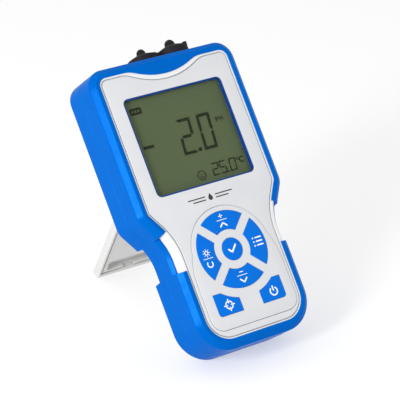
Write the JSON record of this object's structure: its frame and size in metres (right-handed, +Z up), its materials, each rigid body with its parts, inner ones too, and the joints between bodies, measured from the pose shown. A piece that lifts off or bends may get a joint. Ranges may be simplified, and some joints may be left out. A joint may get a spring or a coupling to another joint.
{
  "type": "portable ph meter",
  "caption": "Handheld pH meter in a blue rubber sleeve, leaning back on an open kickstand, with a display, a ring keypad and capped sockets.",
  "frame": {"origin": "on the table, under the middle of the meter's footprint as it leans on its open kickstand", "axes": "+Z up, +X across the meter to its right as seen from the front, the face looks towards -Y and up"},
  "size_m": [0.097, 0.144, 0.1491],
  "materials": {
    "rubber_blue": "satin moulded silicone",
    "abs_white": "fine-textured white ABS",
    "silver_paint": "satin silver-painted plastic",
    "key_blue": "smooth blue keypad with white printed symbols",
    "rubber_black": "matt black rubber",
    "steel": "nickel-plated steel",
    "brass": "plated brass contact",
    "clear_acrylic": "clear acrylic",
    "mask_ink": "dark blue printed border",
    "lcd_glass": "olive liquid crystal panel",
    "diffuser": "milky light guide",
    "board_green": "green circuit board",
    "insulator": "white PTFE",
    "cell_wrap": "shrink-wrapped battery cell"
  },
  "bodies": {
    "meter": {"back_shell": "abs_white", "battery_1": "cell_wrap", "battery_2": "cell_wrap", "battery_3": "cell_wrap", "battery_spring_1": "steel", "battery_spring_2": "steel", "battery_spring_3": "steel", "bnc_insulator": "insulator", "bnc_lead": "rubber_black", "bnc_nut": "steel", "bnc_socket": "steel", "board_screw_1": "steel", "board_screw_2": "steel", "board_screw_3": "steel", "board_screw_4": "steel", "contact_plate_foot": "brass", "contact_plate_top": "brass", "contact_strip": "rubber_black", "display_lens": "clear_acrylic", "display_mask": "mask_ink", "dome_sheet": "rubber_black", "face_plate": "silver_paint", "front_shell": "abs_white", "hinge_pin": "steel", "housing_gasket": "rubber_black", "housing_screw_1": "steel", "housing_screw_2": "steel", "housing_screw_3": "steel", "housing_screw_4": "steel", "keypad_bezel": "silver_paint", "lcd_backlight": "diffuser", "lcd_frame": "abs_white", "lcd_panel": "lcd_glass", "main_board": "board_green", "sleeve": "rubber_blue", "temp_insulator": "insulator", "temp_lead": "rubber_black", "temp_nut": "steel", "temp_socket": "steel"},
    "stand": {"kickstand": "abs_white"},
    "door": {"battery_door": "abs_white", "door_screw_1": "steel", "door_screw_2": "steel"},
    "bnc_dust_cap": {"bnc_cap": "rubber_black"},
    "temp_dust_cap": {"temp_cap": "rubber_black"},
    "key_ok_body": {"key_ok": "key_blue"},
    "key_up_body": {"key_up": "key_blue"},
    "key_mode_body": {"key_mode": "key_blue"},
    "key_down_body": {"key_down": "key_blue"},
    "key_light_body": {"key_light": "key_blue"},
    "key_cal_body": {"key_cal": "key_blue"},
    "key_power_body": {"key_power": "key_blue"}
  },
  "joints": [
    {"name": "stand_hinge", "type": "hinge", "parent": "meter", "child": "stand", "pos_m": [0, 0.02299, 0.0965], "axis": [1, 0, 0], "range_deg": [-64.3, 0]},
    {"name": "door_slide", "type": "slide", "parent": "meter", "child": "door", "axis": [0, 0.7826, -0.6225], "range_m": [0, 0.02]},
    {"name": "bnc_cap_pull", "type": "slide", "parent": "meter", "child": "bnc_dust_cap", "axis": [0, 0.6225, 0.7826], "range_m": [0, 0.02]},
    {"name": "temp_cap_pull", "type": "slide", "parent": "meter", "child": "temp_dust_cap", "axis": [0, 0.6225, 0.7826], "range_m": [0, 0.02]},
    {"name": "key_ok_press", "type": "slide", "parent": "meter", "child": "key_ok_body", "axis": [0, 0.7826, -0.6225], "range_m": [0, 0.0006], "stiffness_N_per_m": 400, "springref_m": -0.0005},
    {"name": "key_up_press", "type": "slide", "parent": "meter", "child": "key_up_body", "axis": [0, 0.7826, -0.6225], "range_m": [0, 0.0006], "stiffness_N_per_m": 400, "springref_m": -0.0005},
    {"name": "key_mode_press", "type": "slide", "parent": "meter", "child": "key_mode_body", "axis": [0, 0.7826, -0.6225], "range_m": [0, 0.0006], "stiffness_N_per_m": 400, "springref_m": -0.0005},
    {"name": "key_down_press", "type": "slide", "parent": "meter", "child": "key_down_body", "axis": [0, 0.7826, -0.6225], "range_m": [0, 0.0006], "stiffness_N_per_m": 400, "springref_m": -0.0005},
    {"name": "key_light_press", "type": "slide", "parent": "meter", "child": "key_light_body", "axis": [0, 0.7826, -0.6225], "range_m": [0, 0.0006], "stiffness_N_per_m": 400, "springref_m": -0.0005},
    {"name": "key_cal_press", "type": "slide", "parent": "meter", "child": "key_cal_body", "axis": [0, 0.7826, -0.6225], "range_m": [0, 0.0006], "stiffness_N_per_m": 400, "springref_m": -0.0005},
    {"name": "key_power_press", "type": "slide", "parent": "meter", "child": "key_power_body", "axis": [0, 0.7826, -0.6225], "range_m": [0, 0.0006], "stiffness_N_per_m": 400, "springref_m": -0.0005}
  ]
}
